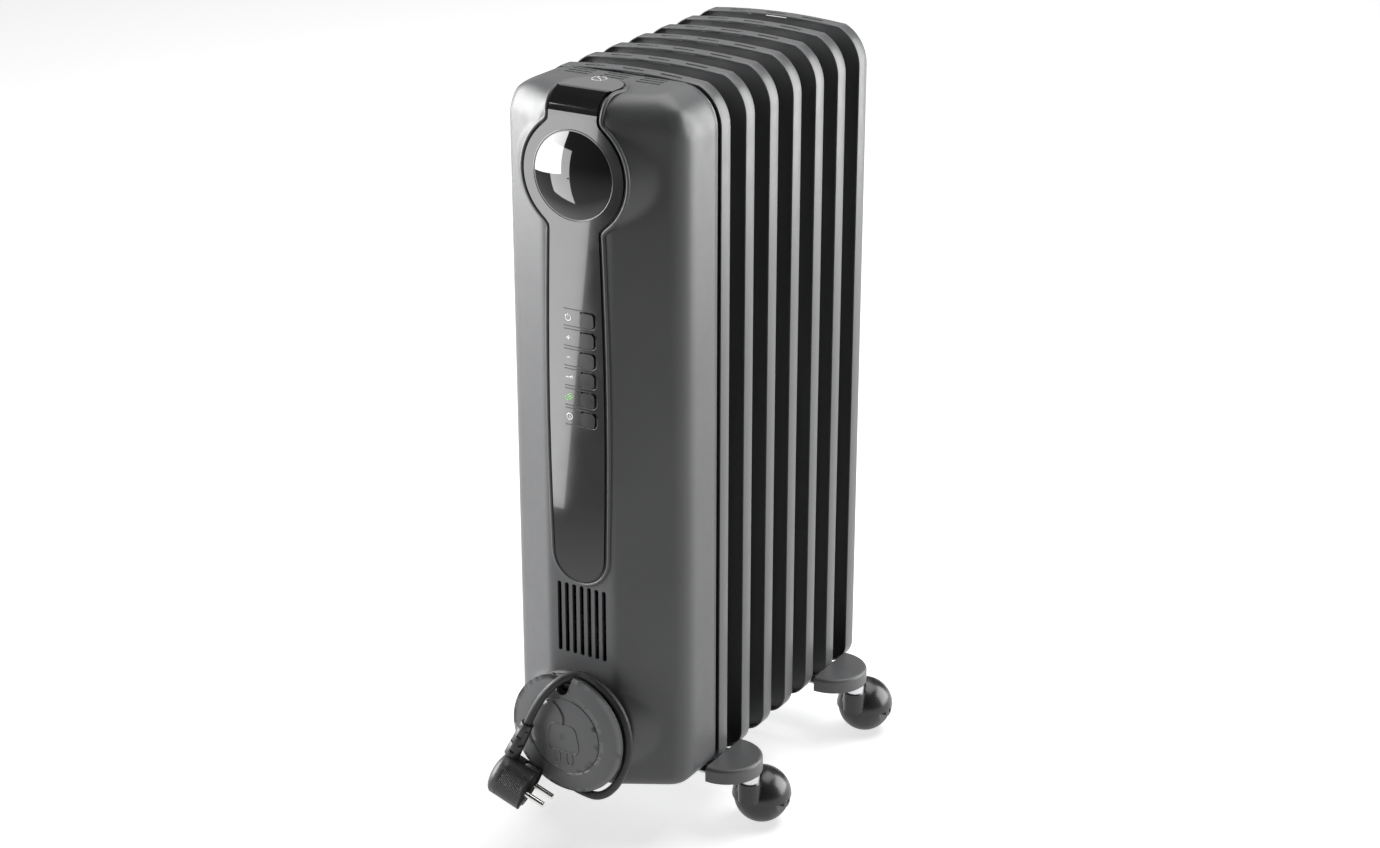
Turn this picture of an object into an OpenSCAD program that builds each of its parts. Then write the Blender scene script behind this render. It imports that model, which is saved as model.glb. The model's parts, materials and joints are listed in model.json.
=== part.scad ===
// Oil filled radiator heater with a front control housing, a cord winder and ball casters.
// Millimetres. +Z is up, the control face looks along -Y, and the origin is on the floor
// under the middle of the heater.

/* [Fins] */
// Number of oil filled fins
fin_count = 7; // [4:1:9]
// Width of a fin
fin_width = 169; // [140:1:205]
// Height of a fin
fin_height = 598; // [480:1:720]
// Distance from one fin to the next
fin_pitch = 38.6; // [32:0.2:48]
// Width of the boxed rim round a fin
fin_rim = 13.5; // [11:0.5:18]
// Radius of a fin's top corners
fin_top_radius = 36; // [24:1:46]
// Radius of a fin's bottom corners
fin_bottom_radius = 20; // [14:1:26]
// Thickness of the rim's sheet
rim_sheet = 1.2; // [0.8:0.1:2]
// Length of an air slot in the rim's top
air_slot_length = 20; // [14:1:28]
// Width of an air slot
air_slot_width = 3; // [2:0.2:4]
// Distance between air slots
air_slot_pitch = 34.9; // [30:0.5:44]

/* [Oil circuit] */
// Width of the oil chamber in a fin
chamber_width = 124; // [100:1:134]
// Outside thickness of the oil chamber
chamber_thickness = 8; // [6:0.5:10]
// Thickness of the chamber's sheet
chamber_sheet = 1.2; // [1:0.1:1.6]
// Thickness of the web between the chamber and the rim
web_sheet = 1.2; // [0.8:0.1:2]
// Outside radius of the headers that join the fins
header_radius = 20; // [16:0.5:23]
// Wall of a header
header_wall = 2.5; // [2:0.1:3]
// Height of the lower header above the fins' bottom
header_rise = 40; // [36:1:46]
// Depth of the upper header below the fins' top
header_drop = 48; // [44:1:56]

/* [Housing] */
// Half width of the control housing
housing_half = 83.3; // [69:0.1:100]
// Depth of the housing in front of the mounting plate
housing_depth = 76.2; // [68:0.2:92]
// Width of the housing's flat front
front_flat = 63.6; // [58:0.2:76]
// Depth of the bevel beside the flat front
bevel_depth = 28.5; // [24:0.5:34]
// Wall of the housing
housing_wall = 2.5; // [2:0.1:3]
// Height of the housing's bottom above the fins' bottom
housing_rise = 5.5; // [3:0.5:8]
// Radius of the front edge at the top
front_top_radius = 18; // [12:1:22]
// Radius of the top side corners
side_top_radius = 33; // [26:1:36]
// Radius between the bevels and the sides
shoulder_radius = 22; // [14:1:22]
// Length of the front vents
vent_length = 63; // [48:1:72]

/* [Control band] */
// Thickness of the gloss band
band_thickness = 2.2; // [1.8:0.1:3]
// Half width of the band at its waist
band_half = 22; // [19:0.5:25]
// Radius of the round bezel
bezel_radius = 45.5; // [41:0.5:48]
// Depth of the display's centre below the fins' top
display_drop = 65; // [62:0.5:74]
// Radius of the display lens
lens_radius = 35; // [30:0.5:37]
// Height of the lens dome
lens_dome = 7; // [5:0.5:9]

/* [Buttons] */
// Width of a button
button_width = 13; // [10:0.5:15]
// Height of a button
button_height = 12; // [9:0.5:13.5]
// Distance between buttons
button_pitch = 16.7; // [14.5:0.1:20]
// Sideways place of the button column
button_x = 11; // [8:0.5:14]
// Depth of the top button below the fins' top
button_drop = 181; // [170:1:200]
// Travel of a button
button_travel = 1; // [0.6:0.1:1.4]

/* [Cord winder] */
// Radius of the winder's disc
disc_radius = 53; // [45:0.5:58]
// Height of the disc's dome
disc_dome = 7; // [5:0.5:9]
// Distance from the housing to the disc
winder_gap = 22.6; // [18:0.2:28]
// Height of the winder's centre above the fins' bottom
winder_rise = 61.5; // [56:0.5:70]
// Radius of the winder's hub
hub_radius = 36; // [30:0.5:40]
// Diameter of the mains cord
cord_diameter = 7.2; // [6:0.1:8]

/* [Feet] */
// Radius of a caster's ball
wheel_radius = 24; // [20:0.5:28]
// Wall of the caster's hood
hood_wall = 1.1; // [0.9:0.1:1.5]
// Trail of the ball behind its stem
caster_trail = 21; // [19:0.5:26]
// Radius of a caster's axle
axle_radius = 2; // [1.5:0.1:2.5]
// Distance from a foot cap's flat side to the caster stem
stem_reach = 25.9; // [22:0.1:26.5]
// Radius of a caster stem
stem_radius = 4; // [3:0.5:5]
// Radius of a D-shaped foot cap
foot_radius = 31; // [28:0.5:34]
// Thickness of a foot plate
foot_plate = 1.6; // [1.2:0.1:2]

/* [Fits] */
// Running clearance of a shaft
run_gap = 0.05; // [0.02:0.01:0.08]
// Clearance between parts that move past each other
slide_gap = 0.3; // [0.25:0.05:0.5]

/* [Hidden] */
$fn = 64;
// heights, from the floor up
ball_z = wheel_radius;
hood_inner = wheel_radius + 0.5;
hood_radius = hood_inner + hood_wall;
hood_top = ball_z + hood_radius;
plate_z = hood_top + 0.8;
fin_bottom = plate_z + foot_plate;
fin_top = fin_bottom + fin_height;
fin_crown = 600;
lower_header = fin_bottom + header_rise;
upper_header = fin_top - header_drop;
housing_bottom = fin_bottom + housing_rise;
housing_top = fin_top - 1.5;
display_z = fin_top - display_drop;
winder_z = fin_bottom + winder_rise;
vent_low = winder_z + disc_radius + 7.5;
vent_high = vent_low + vent_length;
band_end = vent_high + 5.3;

// depths, front to back; fin 1 stands at fin_y(1)
plate_gap = 1.95;
mount_plate = 1.5;
front_reach = fin_rim / 2 + plate_gap + mount_plate + housing_depth + winder_gap + 3 + disc_dome;
last_fin = (fin_count - 1) * fin_pitch;
rear_foot = last_fin - fin_pitch;
rear_reach = max(last_fin + fin_rim / 2, rear_foot + caster_trail + hood_radius);
first_y = (front_reach - rear_reach) / 2;
plate_back = first_y - fin_rim / 2 - plate_gap;
plate_front = plate_back - mount_plate;
housing_front = plate_front - housing_depth;
inner_front = housing_front + housing_wall;
band_front = housing_front - band_thickness;
disc_back = housing_front - winder_gap;
disc_rim = 3;
disc_front = disc_back - disc_rim;
foot_y = [first_y, first_y + rear_foot];
bolt_dy = fin_pitch / 2;
band_top_reach = 25.8;

// control board behind the front
board_front = inner_front + 10.6;
board_thickness = 1.6;
board_back = board_front + board_thickness;
board_half = 27;
board_low = button_z(6) - 22;
board_high = display_z + 30;
board_hole = 6;
post_x = 21;
post_z = [board_low + board_hole, board_high - board_hole];
flange_y = inner_front + slide_gap;
flange_thickness = 1.2;

// foot caps and casters
cap_x = fin_width / 2 + 0.6;
cap_height = 13;
cap_bottom = fin_bottom + 1.4;
cap_top = cap_bottom + cap_height;
cap_bulge = 3;
cap_wall = 2.6;
stem_x = cap_x + stem_reach;
wheel_half = 0.875 * wheel_radius;
ring_radius = 8.5;
neck_top = ball_z + sqrt(pow(hood_radius, 2) - pow(caster_trail - ring_radius, 2));
stem_low = ball_z + sqrt(pow(hood_inner, 2) - pow(caster_trail - stem_radius, 2)) + 0.2;
cap_screw_x = 5;
cap_screw_dy = 8;
tongue = 2 * cap_screw_x + 1;

FIN_NODES = [for (i = [1:fin_count]) str("fin_", i)];
BUTTONS = ["power", "plus", "minus", "mode", "eco", "timer"];
CORNERS = ["front_right", "front_left", "rear_right", "rear_left"];

function fin_y(i) = first_y + (i - 1) * fin_pitch;
function button_z(i) = fin_top - button_drop - (i - 1) * button_pitch;
function side_of(c) = (c == 0 || c == 2) ? 1 : -1;
function stem_y(c) = foot_y[c < 2 ? 0 : 1];

// ---------- helpers ----------

// extrudes an X-Z outline along Y, from y0 to y1
module along_y(y0, y1) translate([0, y1, 0]) rotate([90, 0, 0]) linear_extrude(y1 - y0) children();

// extrudes a Y-Z outline along X, symmetric about X = 0
module along_x(half) rotate([90, 0, 90]) translate([0, 0, -half]) linear_extrude(2 * half) children();

// a cylinder along Y from y0 to y1
module rod_y(x, z, r, y0, y1) translate([x, y1, z]) rotate([90, 0, 0]) cylinder(h = y1 - y0, r = r);

// convex polygon, anticlockwise, with its own radius at each corner and true circular arcs
function unit(v) = v / norm(v);
function half_turn(a, b, c) = (180 - acos(unit(a - b) * unit(c - b))) / 2;
module rounded(points, radii) {
    n = len(points);
    prev = [for (i = [0:n - 1]) points[(i + n - 1) % n]];
    next = [for (i = [0:n - 1]) points[(i + 1) % n]];
    cut = [for (i = [0:n - 1]) radii[i] * tan(half_turn(prev[i], points[i], next[i]))];
    polygon([for (i = [0:n - 1]) for (p = [prev[i], next[i]]) points[i] + cut[i] * unit(p - points[i])]);
    for (i = [0:n - 1]) {
        towards = unit(unit(prev[i] - points[i]) + unit(next[i] - points[i]));
        reach = radii[i] / cos(half_turn(prev[i], points[i], next[i]));
        translate(points[i] + reach * towards) circle(radii[i]);
    }
}

// upright outline: half width, bottom and top heights, bottom and top radii
module upright(half, z0, z1, r0, r1)
    rounded([[-half, z0], [half, z0], [half, z1], [-half, z1]], [r0, r0, r1, r1]);

module slot_box(x, y, z, dx, dy, dz) translate([x - dx / 2, y - dy / 2, z - dz / 2]) cube([dx, dy, dz]);

// ---------- fins and oil circuit ----------

module fin_outline(inset)
    intersection() {
        upright(fin_width / 2 - inset, fin_bottom + inset, fin_top - inset,
                fin_bottom_radius - inset, fin_top_radius - inset);
        translate([0, fin_top - fin_crown]) circle(fin_crown - inset, $fn = 360);
    }

module chamber_outline(inset)
    upright(chamber_width / 2 - inset, lower_header - 30 + inset, upper_header + 30 - inset,
            26 - inset, 26 - inset);

// a welded fin: boxed rim, web and a hollow oil chamber that the two headers pass through
module fin(i) {
    y = fin_y(i);
    color("#5b5c5f") difference() {
        union() {
            difference() {
                along_y(y - fin_rim / 2, y + fin_rim / 2) fin_outline(0);
                along_y(y - fin_rim, y + fin_rim) fin_outline(rim_sheet);
            }
            along_y(y - web_sheet / 2, y + web_sheet / 2) fin_outline(rim_sheet / 2);
            along_y(y - chamber_thickness / 2, y + chamber_thickness / 2) chamber_outline(0);
        }
        along_y(y - chamber_thickness / 2 + chamber_sheet, y + chamber_thickness / 2 - chamber_sheet)
            chamber_outline(chamber_sheet);
        for (z = [lower_header, upper_header]) rod_y(0, z, header_radius, y - fin_rim, y + fin_rim);
        for (k = [-1:1])
            slot_box(k * air_slot_pitch, y, fin_top - 0.5, air_slot_length, air_slot_width, 6);
    }
}

// Two closed tubes join the fins; each opens into every oil chamber. The front ends are bored
// for the heating element and the filler plug.
header_end = fin_y(fin_count) + chamber_thickness / 2 + 3;
module headers()
    color("#5b5c5f") difference() {
        for (z = [lower_header, upper_header]) rod_y(0, z, header_radius, plate_back, header_end);
        for (z = [lower_header, upper_header]) {
            rod_y(0, z, header_radius - header_wall, plate_back + 6, header_end - header_wall);
            rod_y(0, z, 12, plate_back - 1, plate_back + 7);
            for (i = [1:fin_count]) for (side = [-1, 1])
                slot_box(0, fin_y(i), z + side * (header_radius - header_wall / 2),
                         12, chamber_thickness - 2 * chamber_sheet, 3 * header_wall);
        }
    }

module heating_element() {
    rods = [for (x = [-7, 7]) x];
    tail = fin_y(fin_count) - 6;
    color("#b9b4a8") {
        rod_y(0, lower_header, 17, plate_front - 5, plate_front);
        rod_y(0, lower_header, 12 - run_gap, plate_front, plate_back + 9);
        for (x = rods) {
            for (z = [-5, 5]) rod_y(x, lower_header + z, 3, plate_back + 9, tail);
            translate([x, tail, lower_header]) rotate([0, 90, 0]) rotate_extrude(angle = 180)
                translate([5, 0]) circle(3);
        }
        for (x = rods) for (z = [-5, 5]) slot_box(x, plate_front - 9, lower_header + z, 0.8, 8, 5);
    }
}

module oil_plug()
    color("#c9a24a") {
        rod_y(0, upper_header, 12 - run_gap, plate_front, plate_back + 6);
        along_y(plate_front - 6, plate_front) translate([0, upper_header]) circle(16, $fn = 6);
    }

// ---------- mounting plate and housing ----------

bevel_turn = atan2(bevel_depth, housing_half - front_flat / 2);

// plan of the housing; inset moves every wall inwards, and back stretches it to the rear
module plan_outline(inset, back) {
    flat = front_flat / 2 - inset * tan(bevel_turn / 2);
    side = housing_half - inset;
    shoulder = housing_front + bevel_depth + inset * tan((90 - bevel_turn) / 2);
    rounded([[-side, plate_front + back], [-side, shoulder], [-flat, housing_front + inset],
             [flat, housing_front + inset], [side, shoulder], [side, plate_front + back]],
            [0.5, shoulder_radius - inset, 10 - inset, 10 - inset, shoulder_radius - inset, 0.5]);
}

// The front and side views reach this far past the housing's own walls, so that the walls' planes
// cut their rounded corners and never lie on them.
edge_lead = 0.2;

module front_outline(inset)
    upright(housing_half - inset + edge_lead, housing_bottom + inset, housing_top - inset,
            16 - inset, side_top_radius - inset);

// side view of the housing, with its rounded top and bottom front edges
module side_outline(inset, back) {
    front = housing_front - edge_lead + inset;
    rounded([[front, housing_bottom + inset], [plate_front + back, housing_bottom + inset],
             [plate_front + back, housing_top - inset], [front, housing_top - inset]],
            [8 - inset, 0.5, 0.5, front_top_radius - inset]);
}

// round drum that swells out of the bevels, about the height z
module drum(z, inset)
    translate([0, housing_front + 20, z]) rotate([90, 0, 0])
        cylinder(h = 20 - inset, r1 = 66.5 - inset, r2 = 47.5 - inset * 0.2, $fn = 96);

module housing_body(inset, back)
    intersection() {
        along_y(housing_front - 1, plate_front + back + 1) front_outline(inset);
        along_x(housing_half + 1) side_outline(inset, back);
        union() {
            translate([0, 0, housing_bottom - 1]) linear_extrude(housing_top - housing_bottom + 2)
                plan_outline(inset, back);
            drum(display_z, inset);
            drum(winder_z, inset);
        }
    }

front_vents = 7;
front_vent_pitch = 7.2;
top_vent_pitch = 33;
top_vent_rows = 6;
screw_x = housing_half - 23.3;
screw_z = [housing_bottom + 34, housing_top - 34];
pilot = 1.5;
disc_screw_x = 20;
gland_z = winder_z - hub_radius - 7;
gland_radius = cord_diameter / 2 + 2.4;
gland_flange = gland_radius + 2;

// bosses inside the housing that the rear screws and the boards are fixed to
module housing_posts() {
    for (x = [-screw_x, screw_x]) for (z = screw_z)
        rod_y(x, z, 4.5, inner_front, plate_front);
    for (x = [-post_x, post_x]) for (z = post_z)
        rod_y(x, z, 3.2, inner_front - 0.5, board_front);
}

module housing()
    color("#57585b") difference() {
        union() {
            difference() {
                housing_body(0, 0);
                housing_body(housing_wall, 2);
            }
            intersection() {
                housing_body(0.5, 0);
                housing_posts();
            }
        }
        // window behind the display, button openings
        along_y(housing_front - 1, inner_front + 1) translate([0, display_z])
            square([52, 36], center = true);
        for (i = [1:6]) slot_box(button_x, housing_front, button_z(i), button_width + 2 * slide_gap,
            4 * housing_wall, button_height + 2 * slide_gap);
        // vents in the top and in the front
        for (k = [-1:1]) for (j = [0:2])
            slot_box(k * top_vent_pitch - 3, plate_front - 4.5 - j * top_vent_rows, housing_top,
                     22, 2.4, 3 * housing_wall);
        for (k = [0:front_vents - 1])
            along_y(housing_front - 1, inner_front + 1)
                translate([(k - (front_vents - 1) / 2) * front_vent_pitch, 0])
                    upright(1.9, vent_low, vent_high, 1.8, 1.8);
        // entry of the mains cord under the winder's hub, and screw pilots
        rod_y(0, gland_z, gland_radius, housing_front - 1, inner_front + 1);
        rod_y(0, gland_z, gland_flange + slide_gap, inner_front, inner_front + 4);
        for (x = [-disc_screw_x, disc_screw_x]) rod_y(x, winder_z, pilot, housing_front - 1, inner_front + 1);
        for (x = [-screw_x, screw_x]) for (z = screw_z) rod_y(x, z, pilot, plate_front - 14, plate_front + 1);
        for (x = [-post_x, post_x]) for (z = post_z) rod_y(x, z, 1.2, board_front - 6, board_front + 1);
    }

module mounting_plate()
    color("#9a9c9f") difference() {
        along_y(plate_front, plate_back)
            upright(housing_half - 1.4, housing_bottom + 1.4, housing_top - 1.4, 14.6, 31.6);
        for (z = [lower_header, upper_header]) rod_y(0, z, 12 + slide_gap, plate_front - 1, plate_back + 1);
        for (x = [-screw_x, screw_x]) for (z = screw_z) rod_y(x, z, pilot, plate_front - 1, plate_back + 1);
        for (x = [-50, 50]) for (k = [0:5])
            slot_box(x, plate_back, power_z - 50 + k * 40, 8, 4 * mount_plate, 26);
    }

// a screw along Y: shank from y0 to y1, then its head
module screw(x, z, r, y0, y1) {
    rod_y(x, z, r - run_gap, y0, y1);
    rod_y(x, z, 2 * r, y1, y1 + 1.7);
}

// all the screws: at the housing's rear, in the board, the winder's disc and the foot caps
module screws()
    color("#b8babd") {
        for (x = [-screw_x, screw_x]) for (z = screw_z) screw(x, z, pilot, plate_front - 12, plate_back);
        for (x = [-post_x, post_x]) for (z = post_z) screw(x, z, 1.2, board_front - 5, board_back);
        for (x = [-disc_screw_x, disc_screw_x]) screw(x, winder_z, pilot, housing_front - 15, inner_front);
        for (y = foot_y) for (s = [-1, 1]) for (dy = [-cap_screw_dy, cap_screw_dy])
            translate([s * (cap_x + cap_screw_x), y + dy, plate_z]) {
                cylinder(h = 0.8, r = 3.3);
                cylinder(h = foot_plate + 6, r = 1.6 - run_gap);
            }
    }

// ---------- control band, display and buttons ----------

// half width of the band at a height: a strip that swells into the round bezel
strip_top = display_z - 30;
strip_length = strip_top - band_end + 18;
function strip_half(z) = band_half + 3.6 * sin(180 * min(1, max(0, (strip_top - z) / strip_length)));
function disc_half(z, r) = sqrt(max(0, r * r - (z - display_z) * (z - display_z)));
function band_edge(z) = pow(pow(strip_half(z), 7) + pow(disc_half(z, bezel_radius), 7), 1 / 7);

end_radius = strip_half(band_end + band_half);
band_heights = concat([housing_top + 10, display_z + bezel_radius + 4],
    [for (z = [display_z + bezel_radius:-3.5:display_z - bezel_radius - 3]) z],
    [for (z = [display_z - 80:-40:band_end + 60]) z], [band_end + end_radius]);

module band_outline() {
    polygon(concat([for (z = band_heights) [-band_edge(z), z]],
        [for (i = [len(band_heights) - 1:-1:0]) [band_edge(band_heights[i]), band_heights[i]]]));
    translate([0, band_end + end_radius]) circle(end_radius);
}

// the band covers the front and lies on the top with a rounded end
band_cap = band_half + 3;
module control_band() {
    rear = housing_front + front_top_radius;
    cap_end = plate_front - band_top_reach;
    color("#0b0b0c") difference() {
        intersection() {
            union() {
                along_y(band_front, rear) band_outline();
                translate([0, 0, housing_top - 1]) linear_extrude(band_thickness + 2) {
                    translate([-band_cap, rear - 2]) square([2 * band_cap, cap_end - band_cap - rear + 2]);
                    translate([0, cap_end - band_cap]) circle(band_cap);
                }
            }
            along_x(60) difference() {
                band_side();
                intersection() {
                    side_outline(0, 1);
                    translate([housing_front, 0]) square([housing_depth + 2, 2 * fin_top]);
                }
            }
        }
        rod_y(0, display_z, lens_radius + 0.1, band_front - 1, band_front + 1.2);
        rod_y(0, display_z, lens_radius - 2.5, band_front - 1, housing_front + 1);
        for (i = [1:6]) slot_box(button_x, band_front, button_z(i), button_width + 2 * slide_gap,
            4 * band_thickness, button_height + 2 * slide_gap);
    }
}

// side view of the band's outer face
module band_side()
    rounded([[band_front, band_end - 5], [plate_front, band_end - 5],
             [plate_front, housing_top + band_thickness], [band_front, housing_top + band_thickness]],
            [0.5, 0.5, 0.5, front_top_radius + band_thickness]);

module display_lens() {
    sphere_radius = (lens_radius * lens_radius + lens_dome * lens_dome) / (2 * lens_dome);
    color("#101216") translate([0, band_front, display_z]) rotate([90, 0, 0]) {
        rotate_extrude() intersection() {
            translate([0, lens_dome - sphere_radius]) circle(sphere_radius, $fn = 360);
            square([lens_radius, lens_dome]);
        }
        translate([0, 0, -1.2]) cylinder(h = 1.2, r = lens_radius);
    }
}

module display_module()
    color("#2f3a33") {
        along_y(board_front - 8, board_front) translate([0, display_z]) square([46, 30], center = true);
    }

module button(i) {
    z = button_z(i);
    flange_lip = 1.2;
    color("#161617") {
        along_y(band_front - 1.4, flange_y + flange_thickness) translate([button_x, 0])
            upright(button_width / 2, z - button_height / 2, z + button_height / 2, 3, 3);
        along_y(flange_y, flange_y + flange_thickness) translate([button_x, 0])
            upright(button_width / 2 + flange_lip, z - button_height / 2 - flange_lip,
                    z + button_height / 2 + flange_lip, 2, 2);
    }
}

// one board carries the display and the six tact switches
module control_board() {
    color("#2c6b3f") difference() {
        along_y(board_front, board_back) translate([-board_half, board_low])
            square([2 * board_half, board_high - board_low]);
        for (x = [-post_x, post_x]) for (z = post_z) rod_y(x, z, 1.2, board_front - 1, board_back + 1);
    }
    tip = flange_y + flange_thickness + button_travel + 0.1;
    color("#202020") for (i = [1:6]) {
        along_y(board_front - 3.5, board_front) translate([button_x, button_z(i)]) square(6, center = true);
        rod_y(button_x, button_z(i), 1.7, tip, board_front - 3.5);
    }
    color("#303030") along_y(board_back, board_back + 3) translate([0, button_z(3)]) square(14, center = true);
}

// ---------- electrics on the mounting plate ----------

power_z = fin_bottom + 250;
power_back = plate_front - 10;
power_front = power_back - 1.6;

// standoffs, board, relays, capacitor and connector
module power_board() {
    color("#35703f") along_y(power_front, power_back) translate([-42, power_z - 50]) square([84, 100]);
    color("#c8c8c4") for (x = [-34, 34]) for (z = [-42, 42]) rod_y(x, power_z + z, 3, power_back, plate_front);
    color("#23262b") for (x = [-20, 4]) along_y(power_front - 16, power_front) translate([x, power_z + 14])
        square([18, 26]);
    color("#3b5f8f") rod_y(-18, power_z - 20, 8, power_front - 18, power_front);
    color("#d8c24a") along_y(power_front - 11, power_front) translate([2, power_z - 32]) square([30, 14]);
}

terminal_z = fin_bottom + 108;
terminal_y = plate_front - 18;
terminal_x = [-46, -34, -22];
terminal_hole = 8;

module terminal_block()
    color("#d9d6cc") difference() {
        along_y(terminal_y, plate_front) translate([terminal_x[0] - 6, terminal_z - 8])
            square([terminal_x[2] - terminal_x[0] + 12, 16]);
        for (x = terminal_x)
            rod_y(x, terminal_z, wire_radius + wire_gap, terminal_y - 1, terminal_y + terminal_hole);
    }

cutout_x = 40;
cutout_z = upper_header - 20;
module thermal_cutout()
    color("#c9c4b5") {
        rod_y(cutout_x, cutout_z, 8, plate_front - 9, plate_front);
        for (x = [-3.5, 3.5]) slot_box(cutout_x + x, plate_front - 13, cutout_z, 0.8, 8, 5);
    }

module tilt_switch()
    color("#e4e2dc") along_y(plate_front - 16, plate_front) translate([26, fin_bottom + 96]) square([24, 30]);

// a small probe behind the front vents
sensor_x = front_flat / 2 - 5;
sensor_z = vent_low + 22;
module room_sensor()
    color("#3a3a3c") {
        rod_y(sensor_x, sensor_z, 1.8, inner_front, inner_front + 9);
        translate([sensor_x, inner_front + 10, sensor_z]) sphere(2.4);
    }

// a closed tube along points: rings of the given number of sides, the first corner of each
// square to the reference direction
function ring(p, d, r, sides, reference) =
    let (u = unit(cross(d, reference)), v = cross(d, u))
    [for (k = [0:sides - 1]) p + r * (cos(360 * k / sides) * u + sin(360 * k / sides) * v)];

module tube(points, r, sides, reference) {
    n = len(points);
    heading = [for (i = [0:n - 1]) unit(points[min(n - 1, i + 1)] - points[max(0, i - 1)])];
    rings = [for (i = [0:n - 1]) for (q = ring(points[i], heading[i], r, sides, reference)) q];
    last = (n - 1) * sides;
    faces = concat([[for (k = [0:sides - 1]) k]], [[for (k = [sides - 1:-1:0]) last + k]],
        [for (i = [0:sides:last - 1]) for (k = [0:sides - 1], next = (k + 1) % sides)
            [i + k, i + sides + k, i + sides + next, i + next]]);
    polyhedron(rings, faces, convexity = 10);
}

// Wires run forwards out of their terminals, up or down inside the housing and back to the board.
wire_radius = 1.4;
wire_gap = 0.2;
module wire(x0, y0, z0, x1, y1, z1) {
    y = plate_front - 30;
    rise = z1 > z0 ? 8 : -8;
    tube([[x0, y0, z0], [x0, y + 8, z0], [x0, y + 2, z0 + rise / 4], [x0, y, z0 + rise],
          [x1, y, z1 - rise], [x1, y + 2, z1 - rise / 4], [x1, y + 8, z1], [x1, y1, z1]],
         wire_radius, 8, [1, 0, 0]);
}

module wiring() {
    hole = terminal_y + terminal_hole - wire_gap;
    board = power_front - wire_gap;
    color("#7a4a2a") wire(terminal_x[0], hole, terminal_z, -38, board, power_z - 30);
    color("#3a62a8") wire(terminal_x[1], hole, terminal_z, -32, board, power_z - 44);
    color("#a83a3a") wire(7, plate_front - 13 - wire_gap, lower_header + 5,
                          12, power_front - 11 - wire_gap, power_z - 25);
    color("#2a2a2a") wire(cutout_x - 3.5, plate_front - 17 - wire_gap, cutout_z, 30, board, power_z + 44);
    // the mains lead's sheath, from its gland up to the terminal block
    color("#141414") tube([[0, inner_front + 2.6, gland_z], [0, inner_front + 16, gland_z],
        [-2, inner_front + 26, gland_z + 6], [-8, inner_front + 33, gland_z + 20],
        [-20, inner_front + 38, gland_z + 40], [-30, inner_front + 40, gland_z + 60],
        [terminal_x[1], inner_front + 40, terminal_z - 12]], cord_diameter / 2, 8, [1, 0, 0.2]);
}

// ---------- cord winder, cord and plug ----------

notch_x = -2;
notch_radius = 5.6;
notch_depth = 16.6;
notch_z = disc_radius - notch_depth + notch_radius;

module winder_hub()
    color("#3c3d40") difference() {
        rod_y(0, winder_z, hub_radius, disc_back, housing_front);
        rod_y(0, winder_z, hub_radius - 3, disc_back - 1, housing_front - 3);
        for (x = [-disc_screw_x, disc_screw_x]) rod_y(x, winder_z, pilot, housing_front - 4, housing_front + 1);
    }

// domed disc with a notch that lets the cord through its rim
module winder_disc() {
    sphere_radius = (disc_radius * disc_radius + disc_dome * disc_dome) / (2 * disc_dome);
    color("#515255") difference() {
        union() {
            translate([0, disc_front, winder_z]) rotate([90, 0, 0]) rotate_extrude() intersection() {
                translate([0, disc_dome - sphere_radius]) circle(sphere_radius, $fn = 360);
                square([disc_radius, disc_dome]);
            }
            rod_y(0, winder_z, disc_radius, disc_front, disc_back);
            for (x = [-disc_screw_x, disc_screw_x]) rod_y(x, winder_z, 4, disc_back, housing_front - 3);
        }
        translate([notch_x, 0, winder_z + notch_z]) along_y(disc_front - disc_dome - 1, disc_back + 1) {
            circle(notch_radius);
            polygon([[-notch_radius, 0], [notch_radius, 0], [10.5, notch_depth], [-14, notch_depth]]);
        }
        for (x = [-disc_screw_x, disc_screw_x])
            rod_y(x, winder_z, pilot, housing_front - 17, housing_front);
    }
}

// The gland holds the cord where it comes out of the housing, behind the winding.
module cord_gland()
    color("#161616") difference() {
        union() {
            rod_y(0, gland_z, gland_radius, coil_back, inner_front);
            rod_y(0, gland_z, gland_flange, inner_front, inner_front + 2.5);
        }
        rod_y(0, gland_z, cord_diameter / 2, coil_back - 1, inner_front + 4);
    }

// two layers of turns round the hub
coil_inner = hub_radius + 0.3;
coil_outer = coil_inner + 2 * cord_diameter;
coil_front = disc_back + 0.4;
coil_back = housing_front - 0.6;

module cord_coil()
    color("#141414") translate([0, 0, winder_z]) rotate([90, 0, 0]) rotate_extrude()
        translate([coil_inner, -coil_back]) square([coil_outer - coil_inner, coil_back - coil_front]);

// The last, loose turn and the free end: under the winding, up its right side, out through the
// notch, over the disc and down to the plug. X and height are measured from the winder's
// centre, the third number forwards from the disc's rear face.
tail_route = [[-14, -53, -11], [-7, -56, -11], [1, -58, -10], [10, -59.5, -10], [19, -59, -9], [28, -55, -8],
    [36, -48, -8], [43, -38.5, -7], [49, -27, -6], [53, -14, -6], [54.5, 0, -6], [53, 13, -6], [49, 24.5, -6],
    [42.5, 34.5, -6], [34, 43, -5.5], [25, 49, -5], [16.5, 52.5, -4.5], [8.5, 53.5, -3], [1.5, 52, 1.2],
    [-4.5, 48.5, 5.8], [-10, 43, 9.6], [-15, 36.5, 12], [-19.5, 29, 13.5], [-23.5, 21.5, 14.5], [-27, 14, 15.3]];
plug_end = [-30, 7, 16];

function tail_point(p) = [p[0], disc_back - p[2], winder_z + p[1]];

module cord_tail()
    color("#141414") tube([for (p = concat(tail_route, [plug_end])) tail_point(p)],
                          cord_diameter / 2, 10, [0, 1, 0.01]);

// plug axes: cord_dir points back up the cord, pin_dir along the pins
cord_dir = unit([0.38, 0.18, 0.9]);
pin_dir = unit(cross(cross(cord_dir, [0.92, 0.12, -0.38]), cord_dir));
side_dir = cross(cord_dir, pin_dir);

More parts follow.
